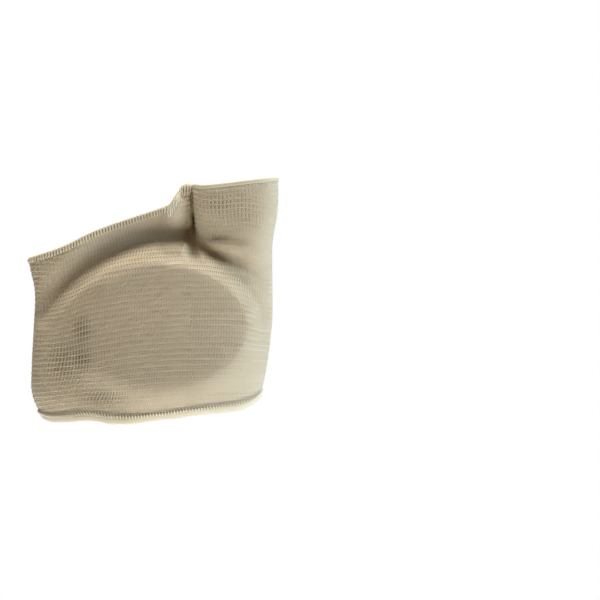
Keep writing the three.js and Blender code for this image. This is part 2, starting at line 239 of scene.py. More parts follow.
heights = [row[0] for row in SECTIONS]
form = {
    name: curve_through(list(zip(heights, column)))
    for name, column in zip(SECTION_COLUMNS[1:], list(zip(*SECTIONS))[1:])
}
seam_x = curve_through(SEAM_LINE)
cuff_z = curve_through(CUFF_EDGE)
toe_z = curve_through(TOE_EDGE)
print("form curves:", sorted(form))

# %% [markdown]
# Two things change that form on the sole side. The pad lifts the knit to a flat crown with a crisp edge,
# softer towards the lateral side. The creases press it in along bent lines, most of which run out of the
# fork between the lobes. Both are plain functions of the place, so any piece can ask for them.

# %% Pad swell and creases
FOLD_STEPS = 161
FOLD_SHARPNESS = 1.25  # 1 is a plain V


def bent_line(start, bend, end):
    t = np.linspace(0, 1, FOLD_STEPS)[:, None]
    start, bend, end = (np.array(point, float) for point in (start, bend, end))
    return (1 - t) ** 2 * start + 2 * t * (1 - t) * bend + t**2 * end


def fold_depth(x, z):
    """How far the creases press the sole side in, less how far the rolls stand out."""
    pressed, raised = np.zeros(np.shape(x)), np.zeros(np.shape(x))
    for _, start, bend, end, depth, below, above, rounding, fades, gone in FOLDS:
        line = bent_line(start, bend, end)
        distance = np.hypot(x[..., None] - line[:, 0], z[..., None] - line[:, 1])
        nearest = np.argmin(distance, axis=-1)
        strength = 1 - smooth_step(nearest / (FOLD_STEPS - 1), fades, gone)
        share = np.hypot(distance.min(axis=-1), rounding) - rounding
        share = share / np.where(z > line[nearest, 1], above, below)
        reach = depth * strength * (1 - np.minimum(share, 1)) ** FOLD_SHARPNESS
        pressed, raised = np.maximum(pressed, reach), np.minimum(raised, reach)
    return pressed + raised


def pad_reach(x, z):
    """Distance from the middle of the pad, as a share of the way to its edge."""
    return np.hypot((x - PAD["x"]) / PAD["half_width"], (z - PAD["z"]) / PAD["half_height"])


def pad_rise(x, z):
    """How far the pad lifts the sole side out: a flat crown, a crisp edge and a slope that runs out."""
    soft = smooth_step(PAD["x"] - x, 0, PAD["half_width"])
    low = smooth_step(PAD["z"] - z, 0, PAD["half_height"])
    crown = SWELL["crown"] + (SWELL["soft_crown"] - SWELL["crown"]) * soft
    end = SWELL["end"] + (SWELL["low_end"] - SWELL["end"]) * low * (1 - soft)
    left = 1 - np.clip((pad_reach(x, z) - crown) / (end - crown), 0, 1)
    crisp = SWELL["edge"] * (1 - soft)
    return SWELL["rise"] * left**2 * (crisp + (1 - crisp) * (3 - 2 * left))


def arch(x, low, high, low_roundness=ROUNDNESS, high_roundness=ROUNDNESS):
    """Half of a rounded section: 1 in the middle, 0 at both ends."""
    t = np.clip((2 * x - low - high) / (high - low), -1, 1)
    power = np.where(t < 0, low_roundness, high_roundness)
    return (1 - np.abs(t) ** power) ** (1 / power)


def lobe_edges(lobe, z, inset):
    """Side edges of a lobe at a height. The inner face is set in by the wall."""
    seam = seam_x(z)
    if lobe == "toes":
        return form["lateral"](z) + inset, seam - SEAM_WIDTH / 2
    return seam + SEAM_WIDTH / 2, form["medial"](z) - inset


SOLE, INSTEP = -1, 1  # sides of the middle plane, as signs of y


def depth_at(lobe, x, z, side, inset):
    """Depth of the knit from the middle plane: the whole sleeve's below the web, the lobe's own above."""
    whole = form["sole" if side == SOLE else "instep"](z) - inset
    own = form[lobe if side == SOLE else lobe + "_back"](z) - inset
    whole_depth = whole * arch(x, form["lateral"](z) + inset, form["medial"](z) - inset)
    run = SPLIT_RUN + SPLIT_SPREAD * smooth_step(np.abs(x - seam_x(z)), SPLIT_NEAR, SPLIT_FAR)
    split = smooth_step(z, WEB_Z - run, WEB_Z)
    ends = (ROUNDNESS, SEAM_ROUNDNESS) if lobe == "toes" else (SEAM_ROUNDNESS, BIG_TOE_ROUNDNESS)
    own_depth = own * arch(x, *lobe_edges(lobe, z, inset), *ends)
    depth = whole_depth * (1 - split) + own_depth * split
    if side == INSTEP:
        return depth
    return depth + smooth_step(depth, 0, RUN_OUT) * (pad_rise(x, z) - fold_depth(x, z))


middle = np.array([PAD["x"]])
print("depth under the pad:", depth_at("toes", middle, np.array([PAD["z"]]), SOLE, 0).round(1), "mm")

# %% [markdown]
# The knit is one tube that forks. A grid follows it: rows run up from the cuff to the toe edge, and columns
# run round the sleeve in two lobes, the four-toe lobe and the big-toe lobe. Each row is spaced evenly by
# length, because the wales of a knit keep their distance, but closer over the pad, where the knit draws in,
# and wider at its lateral edge and round the big-toe loop, where it is stretched open.

# %% Grid of the knit
COLUMNS = {"toes": 108, "big_toe": 62}  # across one side of each lobe
CROWD = 0.25  # how much closer they are over the pad
SPREAD = 0.3  # and how much wider where the knit is open
OPEN_PLACES = [
    # x, z, reach across, reach up, how open, on the sole
    (-25, 34, 6, 10, 0.9),
    (-26, 23, 9, 9, 0.95),
    (-17, 8, 14, 5, 0.85),
    (-32, 22, 12, 13, 0.85),
    (29, 84, 10, 8, 0.72),
    (36, 82, 15, 11, 0.6),
]
ROWS_BELOW_WEB = 92
ROWS_ABOVE_WEB = 32
WEB_X = 18.0  # place across where the web is looked up
TUCK = 0.016  # share of the height by which the knit runs into its hem and rims
FINE = 240  # samples along a row before it is spaced evenly
SETTLE_PASSES = 8  # rounds in which a point's height and breadth settle together


def stretched_open(x, z):
    """How open the sole side is at its stretched places, from 0 to 1."""
    most = np.zeros(np.shape(x))
    for centre_x, centre_z, reach_x, reach_z, amount in OPEN_PLACES:
        fall = np.exp(-(((x - centre_x) / reach_x) ** 2 + ((z - centre_z) / reach_z) ** 2))
        most = np.maximum(most, amount * fall)
    return most


def lobe_rows(lobe, side, inset, shares):
    """Points of one lobe on one side, a row for each share of the height."""
    across = (1 - np.cos(np.linspace(0, np.pi, FINE))) / 2
    share = np.asarray(shares, float)[:, None]
    z = np.full((len(shares), FINE), WEB_Z / 2)
    for _ in range(SETTLE_PASSES):
        low, high = lobe_edges(lobe, z, inset)
        x = low + (high - low) * across
        cuff, top = cuff_z(x), toe_z(x)
        if side == INSTEP:
            from_middle = 2 * x / (form["medial"](z) - form["lateral"](z))
            cuff = cuff + CUFF_RISE * np.maximum(1 - from_middle**2, 0)
            top = top - TOE_EDGE_DROP * np.sin(np.pi * across)
        z = cuff + (top - cuff) * share
    depth = np.maximum(depth_at(lobe, x, z, side, inset), INNER_LEAST if inset else WALL)
    depth[:, 0 if lobe == "toes" else -1] = 0
    points = np.stack([x, side * depth, z], axis=-1)
    steps = np.linalg.norm(np.diff(points, axis=1), axis=2)
    if side == SOLE:
        crowd = 1 + CROWD * pad_rise(x, z) / SWELL["rise"] - SPREAD * stretched_open(x, z)
        steps = steps * crowd[:, 1:]
    lengths = np.concatenate([np.zeros((len(shares), 1)), np.cumsum(steps, axis=1)], axis=1)
    even = np.linspace(0, 1, COLUMNS[lobe] + 1)
    rows = []
    for row, length in zip(points, lengths):
        rows.append(np.stack([np.interp(even * length[-1], length, row[:, n]) for n in range(3)], axis=-1))
    return np.array(rows)


def knit_rings(shares, inset):
    """Rings round the whole sleeve: the sole from the lateral side, then back over the instep."""
    sole = np.concatenate([lobe_rows(lobe, SOLE, inset, shares) for lobe in COLUMNS], axis=1)
    instep = np.concatenate([lobe_rows(lobe, INSTEP, inset, shares) for lobe in COLUMNS], axis=1)
    return np.concatenate([sole, instep[:, -2:0:-1]], axis=1)


seam_left = COLUMNS["toes"]
seam_right = seam_left + 1
side_columns = seam_right + COLUMNS["big_toe"] + 1
ring_columns = 2 * side_columns - 2
column_of = np.array([k if k < side_columns else ring_columns - k for k in range(ring_columns)])
on_seam = (column_of == seam_left) | (column_of == seam_right)
web_share = (WEB_Z - cuff_z(WEB_X)) / (toe_z(WEB_X) - cuff_z(WEB_X))
shares = np.concatenate([
    np.linspace(-TUCK, web_share, ROWS_BELOW_WEB, endpoint=False),
    np.linspace(web_share, 1 + TUCK, ROWS_ABOVE_WEB + 1),
])
outer = knit_rings(shares, 0.0)
inner = knit_rings(shares, WALL)


def grid_normals(rings):
    around = np.roll(rings, -1, axis=1) - np.roll(rings, 1, axis=1)
    up = np.gradient(rings, axis=0)
    normals = np.cross(around, up)
    return normals / np.linalg.norm(normals, axis=2, keepdims=True)


outward = grid_normals(outer)
print("grid:", outer.shape[0], "rows of", ring_columns, "columns")

# %% [markdown]
# A stretched knit opens up. Beside the pad and round the big-toe loop small dark holes show between the
# yarns, while over the pad and near the edges the knit stays closer. One number from 0 to 1 says how open it
# is at a place; the ground cloth takes its colour from it and the yarns take their relief.

# %% How open the knit is
OPEN_CROWN = (0.62, 0.44)  # over the pad, near the cuff and near the toe edges
CROWN_HEIGHTS = (18, 50)  # millimetres between which it goes from one to the other
OPEN_INSTEP = 0.5
OPEN_LEAST = 0.36  # elsewhere
MEDIAL_LOSS = 0.5  # share of that which is lost at the side of the big-toe loop
MEDIAL_PLACES = (25, 45)  # millimetres across between which it is lost


def openness(points):
    x, y, z = points[..., 0], points[..., 1], points[..., 2]
    least = OPEN_LEAST * (1 - MEDIAL_LOSS * smooth_step(x, *MEDIAL_PLACES))
    crown = OPEN_CROWN[0] + (OPEN_CROWN[1] - OPEN_CROWN[0]) * smooth_step(z, *CROWN_HEIGHTS)
    on_pad = np.maximum(least, crown * pad_rise(x, z) / SWELL["rise"])
    return np.where(y > 0, OPEN_INSTEP, np.maximum(on_pad, stretched_open(x, z)))


opening = openness(outer)
print("openness from", opening.min().round(2), "to", opening.max().round(2))

# %% [markdown]
# Cloth finishes differ in colour and relief, not in kind: a rough, slightly hazy surface whose colour drifts
# a little and whose bump is a fine fuzz of fibre. One function makes them all. The ground of the knit also
# reads the openness stored on its points, from the closed knit's beige to a painted shade inside a hole, and
# the yarns are painted a little greyer over the pad, partly for the pad that shows through them and partly
# as painted shade.

# %% Cloth finishes
CLOTH = {"Roughness": 0.92, "Sheen Weight": 0.15, "Sheen Roughness": 0.5, "Specular IOR Level": 0.2}
DRIFT_NOISE = (55.0, 3.0)  # cells for each metre, detail
FIBRE_NOISE = (2600.0, 2.0)
FIBRE_HEIGHT = 0.1  # millimetres


def linear(hex_colour):
    """A colour given as RRGGBB, as the shader needs it."""
    parts = [int(hex_colour[n : n + 2], 16) / 255 for n in (0, 2, 4)]
    return (*[p / 12.92 if p <= 0.04045 else ((p + 0.055) / 1.055) ** 2.4 for p in parts], 1)


def mix_colours(tree, factor, first, second):
    mix = tree.nodes.new("ShaderNodeMix")
    mix.data_type = "RGBA"
    tree.links.new(factor, mix.inputs["Factor"])
    for socket, colour in ((mix.inputs["A"], first), (mix.inputs["B"], second)):
        if isinstance(colour, tuple):
            socket.default_value = colour
        else:
            tree.links.new(colour, socket)
    return mix.outputs["Result"]


def noise(tree, scale, detail):
    place = tree.nodes.new("ShaderNodeTexCoord")
    texture = tree.nodes.new("ShaderNodeTexNoise")
    texture.inputs["Scale"].default_value = scale
    texture.inputs["Detail"].default_value = detail
    tree.links.new(place.outputs["Object"], texture.inputs["Vector"])
    return texture.outputs["Fac"]


def stored_number(tree, label):
    reader = tree.nodes.new("ShaderNodeAttribute")
    reader.attribute_name = label
    return reader.outputs["Fac"]


def bump_node(tree, height, distance, strength=1.0):
    """A bump of a given height in millimetres."""
    bump = tree.nodes.new("ShaderNodeBump")
    bump.inputs["Strength"].default_value = strength
    bump.inputs["Distance"].default_value = distance * MM
    tree.links.new(height, bump.inputs["Height"])
    return bump


def cloth_finish(name, light, dark, fuzz=0.25, stored_shades=()):
    """A cloth whose colour drifts between two beiges, with other colours where a stored number is high."""
    finish, tree, shader = new_finish(name, CLOTH)
    colour = mix_colours(tree, noise(tree, *DRIFT_NOISE), linear(dark), linear(light))
    for label, shade in stored_shades:
        colour = mix_colours(tree, stored_number(tree, label), colour, linear(shade))
    tree.links.new(colour, shader.inputs["Base Color"])
    fibre_bump = bump_node(tree, noise(tree, *FIBRE_NOISE), FIBRE_HEIGHT, fuzz)
    tree.links.new(fibre_bump.outputs["Normal"], shader.inputs["Normal"])
    return finish


# Where the knit is open the ground is painted dark: painted shade inside the holes.
GROUND_SHADES = [("open", "695a44")]
# Over the pad the yarns are painted greyer: partly the pad showing through, partly painted shade.
YARN_SHADES = [("over_pad", "bfaf95")]
ground_finish = cloth_finish("knit_ground", "c9b99d", "c0b094", stored_shades=GROUND_SHADES)
yarn_finish = cloth_finish("knit_yarn", "d0c0a5", "c6b69a", stored_shades=YARN_SHADES)
inlay_finish = cloth_finish("inlay_yarn", "d4c5ab", "cabba0", fuzz=0.15, stored_shades=YARN_SHADES)
print("finishes:", [m.name for m in (ground_finish, yarn_finish, inlay_finish)])

# %% [markdown]
# The ground cloth is the wall itself, with an outer and an inner face. Above the web the two inner faces of
# the seam strip meet, so they share points there and the strip has no inside. Built this way the wall is
# one closed body, and its edges are hidden later by the hem and the rims.

# %% Ground cloth of the sleeve
GROUND_SINK = 0.10  # millimetres below the form where the knit is closed
GROUND_DROP = 0.36  # and this much more where it is wide open
INNER_SHADE = 0.1  # how much of the shade inside a hole the inner face has


def mesh_piece(name, points, faces, finish):
    mesh = bpy.data.meshes.new(name)
    mesh.from_pydata((np.asarray(points) * MM).tolist(), [], faces)
    mesh.materials.append(finish)
    mesh.polygons.foreach_set("use_smooth", [True] * len(mesh.polygons))
    mesh.update()
    piece = bpy.data.objects.new(name, mesh)
    scene.collection.objects.link(piece)
    print(name, "has", len(mesh.polygons), "faces")
    return piece


def store_values(mesh, label, values):
    """Numbers or directions, one for each point, that finishes and trees read by name."""
    values = np.asarray(values, float)
    kind, field = ("FLOAT", "value") if values.ndim == 1 else ("FLOAT_VECTOR", "vector")
    stored = mesh.attributes.new(label, kind, "POINT")
    stored.data.foreach_set(field, values.ravel())


def wall_faces(web_row, row_count):
    """Faces of the wall, with the outer points first and the inner ones after them."""
    count = row_count * ring_columns
    rows = np.arange(row_count)[:, None] * ring_columns
    outside = rows + np.arange(ring_columns)
    inside = outside + count
    for k in np.flatnonzero(on_seam):
        if k >= side_columns:
            inside[web_row:, k] = inside[web_row:, ring_columns - k]
    faces = []
    for k in range(ring_columns):
        n = (k + 1) % ring_columns
        strip = on_seam[k] and on_seam[n]
        for j in range(row_count - 1):
            faces.append((outside[j, k], outside[j, n], outside[j + 1, n], outside[j + 1, k]))
            if j < web_row or not strip:
                faces.append((inside[j, n], inside[j, k], inside[j + 1, k], inside[j + 1, n]))
        faces.append((inside[0, k], inside[0, n], outside[0, n], outside[0, k]))
        faces.append((outside[-1, k], outside[-1, n], inside[-1, n], inside[-1, k]))
    return faces


inner[ROWS_BELOW_WEB:, on_seam, 1] = 0
sunk_ground = outer - (GROUND_SINK + GROUND_DROP * opening)[..., None] * outward
ground_points = np.concatenate([sunk_ground.reshape(-1, 3), inner.reshape(-1, 3)])
ground_faces = wall_faces(ROWS_BELOW_WEB, len(shares))
ground = mesh_piece("knit_sleeve_ground", ground_points, ground_faces, ground_finish)
# The outer face gets that painted shade by its openness, the inner face a little of it everywhere.
inner_shade = np.full(inner.size // 3, INNER_SHADE)
store_values(ground.data, "open", np.concatenate([opening.ravel() ** 2, inner_shade]))

# %% [markdown]
# The knit is made of yarn, and its rows of loops catch the light as fine lines. They could be a bump pattern,
# but real yarns keep their shade and their holes from every side, so each is a tube. A small Geometry Nodes
# tree turns any path made of bare edges into a yarn: mesh to curve, a round profile swept along it, then the
# finish. A number stored on the path, the girth, can thin the yarn where the knit is stretched.

# %% A tree that spins a yarn along a path
def start_tree(title, inputs):
    """A new tree with its group nodes and named inputs."""
    tree = bpy.data.node_groups.new(title, "GeometryNodeTree")
    tree.interface.new_socket("Path", in_out="INPUT", socket_type="NodeSocketGeometry")
    for label, kind in inputs:
        tree.interface.new_socket(label, in_out="INPUT", socket_type=kind)
    tree.interface.new_socket("Yarn", in_out="OUTPUT", socket_type="NodeSocketGeometry")
    return tree, tree.nodes.new("NodeGroupInput"), tree.nodes.new("NodeGroupOutput")


def sweep_yarn(tree, given, result, curve, girth=None):
    """The end that every yarn tree shares: sweep, shade, realize, finish."""
    profile = tree.nodes.new("GeometryNodeCurvePrimitiveCircle")
    sweep = tree.nodes.new("GeometryNodeCurveToMesh")
    sweep.inputs["Fill Caps"].default_value = True
    if girth:
        tree.links.new(girth, sweep.inputs["Scale"])
    shade = tree.nodes.new("GeometryNodeSetShadeSmooth")
    realize = tree.nodes.new("GeometryNodeRealizeInstances")
    finish = tree.nodes.new("GeometryNodeSetMaterial")
    link = tree.links.new
    link(given.outputs["Sides"], profile.inputs["Resolution"])
    link(given.outputs["Yarn radius"], profile.inputs["Radius"])
    link(curve, sweep.inputs["Curve"])
    link(profile.outputs["Curve"], sweep.inputs["Profile Curve"])
    link(sweep.outputs["Mesh"], shade.inputs["Geometry"])
    link(shade.outputs["Geometry"], realize.inputs["Geometry"])
    link(realize.outputs["Geometry"], finish.inputs["Geometry"])
    link(given.outputs["Finish"], finish.inputs["Material"])
    link(finish.outputs["Geometry"], result.inputs["Yarn"])


YARN_INPUTS = [
    ("Yarn radius", "NodeSocketFloat"),
    ("Sides", "NodeSocketInt"),
    ("Finish", "NodeSocketMaterial"),
]
yarn_tree, given, result = start_tree("Yarn along a path", YARN_INPUTS)
to_curve = yarn_tree.nodes.new("GeometryNodeMeshToCurve")
yarn_tree.links.new(given.outputs["Path"], to_curve.inputs["Mesh"])
stored_girth = yarn_tree.nodes.new("GeometryNodeInputNamedAttribute")
stored_girth.data_type = "FLOAT"
stored_girth.inputs["Name"].default_value = "girth"
sweep_yarn(yarn_tree, given, result, to_curve.outputs["Curve"], stored_girth.outputs["Attribute"])
print("yarn tree:", len(yarn_tree.nodes), "nodes")


def path_mesh(name, runs):
    """Bare edges along runs of points. A run is (points, closed, values to store by name)."""
    points, edges, extras = [], [], {}
    for run, closed, stored_values in runs:
        first = len(points)
        points.extend((np.asarray(run) * MM).tolist())
        edges.extend((first + n, first + n + 1) for n in range(len(run) - 1))
        if closed:
            edges.append((first + len(run) - 1, first))
        for label, values in stored_values.items():
            extras.setdefault(label, []).extend(np.asarray(values).tolist())
    mesh = bpy.data.meshes.new(name)
    mesh.from_pydata(points, edges, [])
    for label, values in extras.items():
        store_values(mesh, label, values)
    return mesh


def grow(name, runs, tree, lengths, sides, finish):
    """Runs a tree on paths once and keeps the result as a plain mesh. Its lengths are in millimetres."""
    base = path_mesh(name + "_path", runs)
    piece = bpy.data.objects.new(name, base)
    scene.collection.objects.link(piece)
    modifier = piece.modifiers.new("Grow", "NODES")
    modifier.node_group = tree
    sockets = {item.name: item.identifier for item in tree.interface.items_tree if item.in_out == "INPUT"}
    for label, length in lengths.items():
        modifier[sockets[label]] = length * MM
    modifier[sockets["Sides"]] = sides
    modifier[sockets["Finish"]] = finish
    evaluated = piece.evaluated_get(bpy.context.evaluated_depsgraph_get())
    grown = bpy.data.meshes.new_from_object(evaluated)
    grown.name = name
    piece.modifiers.clear()
    piece.data = grown
    bpy.data.meshes.remove(base)
    triangles = sum(len(polygon.vertices) - 2 for polygon in grown.polygons)
    print(name, "has", triangles, "triangles")
    return piece


# %% [markdown]
# A course is a row of loops, and here a line of equal course number. The number is counted up along the cloth
# from the cuff, a pitch at a time. The pad stretches the knit upwards, so fewer courses cross it and their
# lines arch over it. Into a steep crease the count follows the cloth only so far, to keep the lines smooth.

# %% Courses
COURSE_PITCH = 1.95  # millimetres along the cloth
PAD_STRETCH = 0.15  # more, over the pad
CUFF_SQUEEZE = 0.1  # less, at the cuff
SQUEEZE_END = 14  # millimetres above the cuff where that ends
COURSE_SLOPE = 0.05
COURSE_BEND = 0.0012  # the slope lessens towards the medial side
COURSE_WAVE = 0.2  # the lines are not quite smooth
WAVE_TURN = 0.11  # radians for each millimetre across
STEEPEST = 0.7  # slope into a crease that the count still follows


def count_courses(rings):
    x, y, z = (rings[..., n] for n in range(3))
    stretch = np.where(y < 0, PAD_STRETCH * pad_rise(x, z) / SWELL["rise"], 0)
    pitch = COURSE_PITCH * (1 + stretch - CUFF_SQUEEZE * (1 - smooth_step(z, 0, SQUEEZE_END)))
    rise = np.diff(z, axis=0)
    length = np.hypot(rise, np.clip(np.diff(y, axis=0), -STEEPEST * rise, STEEPEST * rise))
    wave = COURSE_WAVE * np.sin(WAVE_TURN * x[0])
    start = (z[0] - COURSE_SLOPE * x[0] + COURSE_BEND * x[0] ** 2 + wave) / COURSE_PITCH
    return start + np.concatenate([np.zeros((1, ring_columns)), np.cumsum(length / pitch[1:], axis=0)])


course = count_courses(outer)
numbers = np.arange(math.ceil(course.min()), math.floor(course.max()) + 1)
print("courses:", len(numbers))

# %% [markdown]
# In each course one yarn runs from wale to wale, up into a loop and down again. The loops are taller than the
# course, so that neighbouring rows interlock into a light band, and the legs of a loop lean together, which
# leaves a small hole beside every pair. Where the knit is stretched the yarn is thinner and the holes open.
# The path of one loop is a short table of stops, which is laid on the grid at every wale and course.

# %% Knit loops
WALES = {"toes": 62, "big_toe": 36}  # across one side of each lobe
LOOP_STOPS = 8
LOOP_HEIGHT = 1.4  # in courses
LOOP_PINCH = 0.09  # in wales
OPEN_PINCH = 0.1  # and as much more where the knit is wide open
LOOP_SKEW = 0.08  # in wales, to one side and the other in turn, and none where the knit is wide open
LOOP_FRONT = 0.14  # millimetres by which the loop's ends lie before its legs, where the knit is open
LOOP_LIFT = -0.06  # of the middle of a yarn off the form
CLOSED_SINK = 0.22  # closed knit lets the yarns sink in by this
CLOSED_RADIUS = 0.36  # of the yarn where the knit is closed
OPEN_RADIUS = 0.20  # and where it is wide open
YARN_SIDES = 4
PAD_SHADE = (0.75, 1.12)  # share of the pad's reach from where its shade fades to where it ends

loop_turn = np.linspace(0, math.tau, LOOP_STOPS, endpoint=False)
loop_across = loop_turn / math.tau - LOOP_PINCH * np.sin(loop_turn)  # in wales
loop_skew = LOOP_SKEW * np.cos(loop_turn)
loop_up = LOOP_HEIGHT / 2 * np.cos(loop_turn)  # in courses
loop_front = LOOP_FRONT * np.cos(2 * loop_turn)
row_index = np.arange(len(shares), dtype=float)
# How much of that greyer colour a place gets: partly the pad showing through, partly painted shade.
shaded = 1 - smooth_step(pad_reach(outer[..., 0], outer[..., 2]), *PAD_SHADE)
over_pad = np.where(outer[..., 1] < 0, shaded, 0)
cloth = np.concatenate([outer, outward, opening[..., None], over_pad[..., None]], axis=2)
PLACE, OUT, OPEN, OVER_PAD = slice(0, 3), slice(3, 6), 6, 7  # columns of that table


def row_of(number, k):
    """Grid row where a course crosses grid column k, or nan beyond the edges of the cloth."""
    return np.interp(number, course[:, k], row_index, left=np.nan, right=np.nan)


def cloth_between(row, k):
    """What the cloth is like in grid column k, at places between grid rows."""
    low = np.minimum(np.nan_to_num(row).astype(int), len(shares) - 2)
    part = (row - low)[..., None]
    return cloth[low, k] * (1 - part) + cloth[low + 1, k] * part


column_stops = np.array([
    cloth_between(row_of(numbers[:, None] + loop_up, k), k) for k in range(ring_columns)
])


def instep_of(column):
    """The grid column on the instep that lies behind one of the sole."""
    return (ring_columns - column) % ring_columns


def wale_starts(lobe, first):
    """Where the wales of one lobe start, and how wide they are, in grid columns."""
    step = COLUMNS[lobe] / WALES[lobe]
    return [(first + n * step, step) for n in range(WALES[lobe])]


toes_wales = wale_starts("toes", 0) + [(seam_left, 1)]  # the last one is the seam's strip
big_toe_wales = wale_starts("big_toe", seam_right)
LOOP_FIELDS = {
    "knit_loops_sole_toes": toes_wales,
    "knit_loops_sole_big_toe": big_toe_wales,
    "knit_loops_instep_big_toe": [(instep_of(k), -step) for k, step in big_toe_wales],
    "knit_loops_instep_toes": [(instep_of(k), -step) for k, step in toes_wales],
}


def cloth_at(column, n):
    """What the cloth is like at the stops of loops in course n, at places between grid columns."""
    low = np.floor(column).astype(int)
    part = (column - low)[..., None]
    stop = np.arange(LOOP_STOPS)
    here = column_stops[low % ring_columns, n, stop]
    there = column_stops[(low + 1) % ring_columns, n, stop]
    return here * (1 - part) + there * part


def yarn_lift(front, is_open):
    return LOOP_LIFT + front * np.sqrt(is_open) - CLOSED_SINK * (1 - is_open)


def yarn_girth(is_open):
    return 1 + (OPEN_RADIUS / CLOSED_RADIUS - 1) * is_open


def unbroken(values):
    """Runs of places whose values are real numbers."""
    kept = np.flatnonzero(~np.isnan(values))
    runs = np.split(kept, np.flatnonzero(np.diff(kept) > 1) + 1)
    return [run for run in runs if len(run) > 2]


def loop_runs(wales):
    """The yarn of every course across the given wales, cut where it leaves the cloth."""
    starts, steps = np.array(wales).T[:, :, None]
    runs = []
    for n, number in enumerate(numbers):
        upright = cloth_at(starts + steps * loop_across, n)
        skew = loop_skew * (1 - upright[..., OPEN]) * (1 if number % 2 else -1)
        draw = OPEN_PINCH * np.sin(loop_turn) * upright[..., OPEN] ** 2
        shift = np.nan_to_num(skew - draw)
        laid = cloth_at(starts + steps * (loop_across + shift), n).reshape(-1, cloth.shape[2])
        is_open = laid[:, OPEN]
        lift = yarn_lift(np.tile(loop_front, len(wales)), is_open)
        path = laid[:, PLACE] + lift[:, None] * laid[:, OUT]
        girth = yarn_girth(is_open)
        for run in unbroken(is_open):
            runs.append((path[run], False, {"over_pad": laid[run, OVER_PAD], "girth": girth[run]}))
    return runs


knit_loops = [
    grow(field_name, loop_runs(wales), yarn_tree, {"Yarn radius": CLOSED_RADIUS}, YARN_SIDES, yarn_finish)
    for field_name, wales in LOOP_FIELDS.items()
]

# %% [markdown]
# Along each row of loops an elastic yarn is laid in. It gives the sleeve its squeeze, and it shows as a thin
# line that crosses the holes. It lies a little below the legs of the loops, and is thinner where the knit is
# open.

# %% Inlaid elastic
INLAY_RADIUS = 0.16
INLAY_THINNING = 0.9
THINNING_POWER = 4  # a high one thins it only where the knit is wide open
INLAY_DEPTH = 0.08  # of its front, below that of the legs


def inlay_runs():
    runs = []
    for number in numbers:
        row = np.array([row_of(number, k) for k in range(ring_columns)])
        laid = cloth_between(row, np.arange(ring_columns))
        is_open = laid[:, OPEN]
        girth = 1 - INLAY_THINNING * is_open**THINNING_POWER
        leg_front = yarn_lift(-LOOP_FRONT, is_open) + CLOSED_RADIUS * yarn_girth(is_open)
        lift = leg_front - INLAY_DEPTH - INLAY_RADIUS * girth
        path = laid[:, PLACE] + lift[:, None] * laid[:, OUT]
        for run in unbroken(is_open):
            closed = len(run) == ring_columns
            runs.append((path[run], closed, {"over_pad": laid[run, OVER_PAD], "girth": girth[run]}))
    return runs


inlay = grow(
    "inlaid_elastic", inlay_runs(), yarn_tree, {"Yarn radius": INLAY_RADIUS}, YARN_SIDES, inlay_finish
)

# %% [markdown]
# On the inner face the loops lie flat and show only as shallow ribs. They are seen through the openings
# alone, so bump is enough. Each inner point stores the number of its course and of its wale, and two waves of
# those numbers make the ribs; the outer points store zero and stay smooth under their yarns.

# %% Ribs of the inner face
RIB_DEPTH = 0.16  # millimetres
WALE_SHARE = 0.6  # the ribs along the wales are fainter than those along the courses

wale_of_column = np.where(
    column_of <= seam_left,
    column_of * WALES["toes"] / COLUMNS["toes"],
    WALES["toes"] + 1 + (column_of - seam_right) * WALES["big_toe"] / COLUMNS["big_toe"],
)
rib_numbers = {"rib_course": course, "rib_wale": np.broadcast_to(wale_of_column, course.shape)}
for label, values in rib_numbers.items():
    store_values(ground.data, label, np.concatenate([np.zeros(values.size), values.ravel()]))


def maths_node(tree, operation, first, second=0.0):
    maths = tree.nodes.new("ShaderNodeMath")
    maths.operation = operation
    for socket, value in zip(maths.inputs, (first, second)):
        if isinstance(value, (int, float)):
            socket.default_value = value
        else:
            tree.links.new(value, socket)
    return maths.outputs[0]


def stored_wave(tree, label, height):
    angle = maths_node(tree, "MULTIPLY", stored_number(tree, label), math.tau)
    return maths_node(tree, "MULTIPLY", maths_node(tree, "SINE", angle), height)


ground_tree = ground_finish.node_tree
fibre_bump = next(node for node in ground_tree.nodes if node.type == "BUMP")
rib_waves = [stored_wave(ground_tree, "rib_course", 1.0), stored_wave(ground_tree, "rib_wale", WALE_SHARE)]
rib_bump = bump_node(ground_tree, maths_node(ground_tree, "ADD", *rib_waves), RIB_DEPTH)
ground_tree.links.new(rib_bump.outputs["Normal"], fibre_bump.inputs["Normal"])
print("ribs:", len(numbers), "courses and", round(float(wale_of_column.max())), "wales on each side")

# %% [markdown]
# The edge of the four-toe lobe is overlocked: thread wraps round the cut edge in close slanting loops. The
# core is a plain bead along the edge. The wraps are one long thread wound round it, so a second tree bends
# the path into a flattened helix before it spins the yarn. The path carries two directions with it, away
# from the cloth and across its wall, and the tree reads them by name.

# %% A tree that winds thread round an edge
WRAP_INPUTS = [
    ("Wrap pitch", "NodeSocketFloat"),
    ("Half width", "NodeSocketFloat"),
    ("Half height", "NodeSocketFloat"),
    *YARN_INPUTS,
]
STOPS_PER_WRAP = 10


def turns_along(tree, given, repeat):
    """An angle that grows along the path by one turn for each repeat, a length that the tree is given."""
    along = tree.nodes.new("GeometryNodeSplineParameter")
    share = maths_node(tree, "DIVIDE", along.outputs["Length"], given.outputs[repeat])
    return maths_node(tree, "MULTIPLY", share, math.tau)


def stored_direction(tree, label, length):
    """A direction that the path carries, at a given length."""
    reader = tree.nodes.new("GeometryNodeInputNamedAttribute")
    reader.data_type = "FLOAT_VECTOR"
    reader.inputs["Name"].default_value = label
    scaled = tree.nodes.new("ShaderNodeVectorMath")
    scaled.operation = "SCALE"
    tree.links.new(reader.outputs["Attribute"], scaled.inputs["Vector"])
    tree.links.new(length, scaled.inputs["Scale"])
    return scaled.outputs["Vector"]


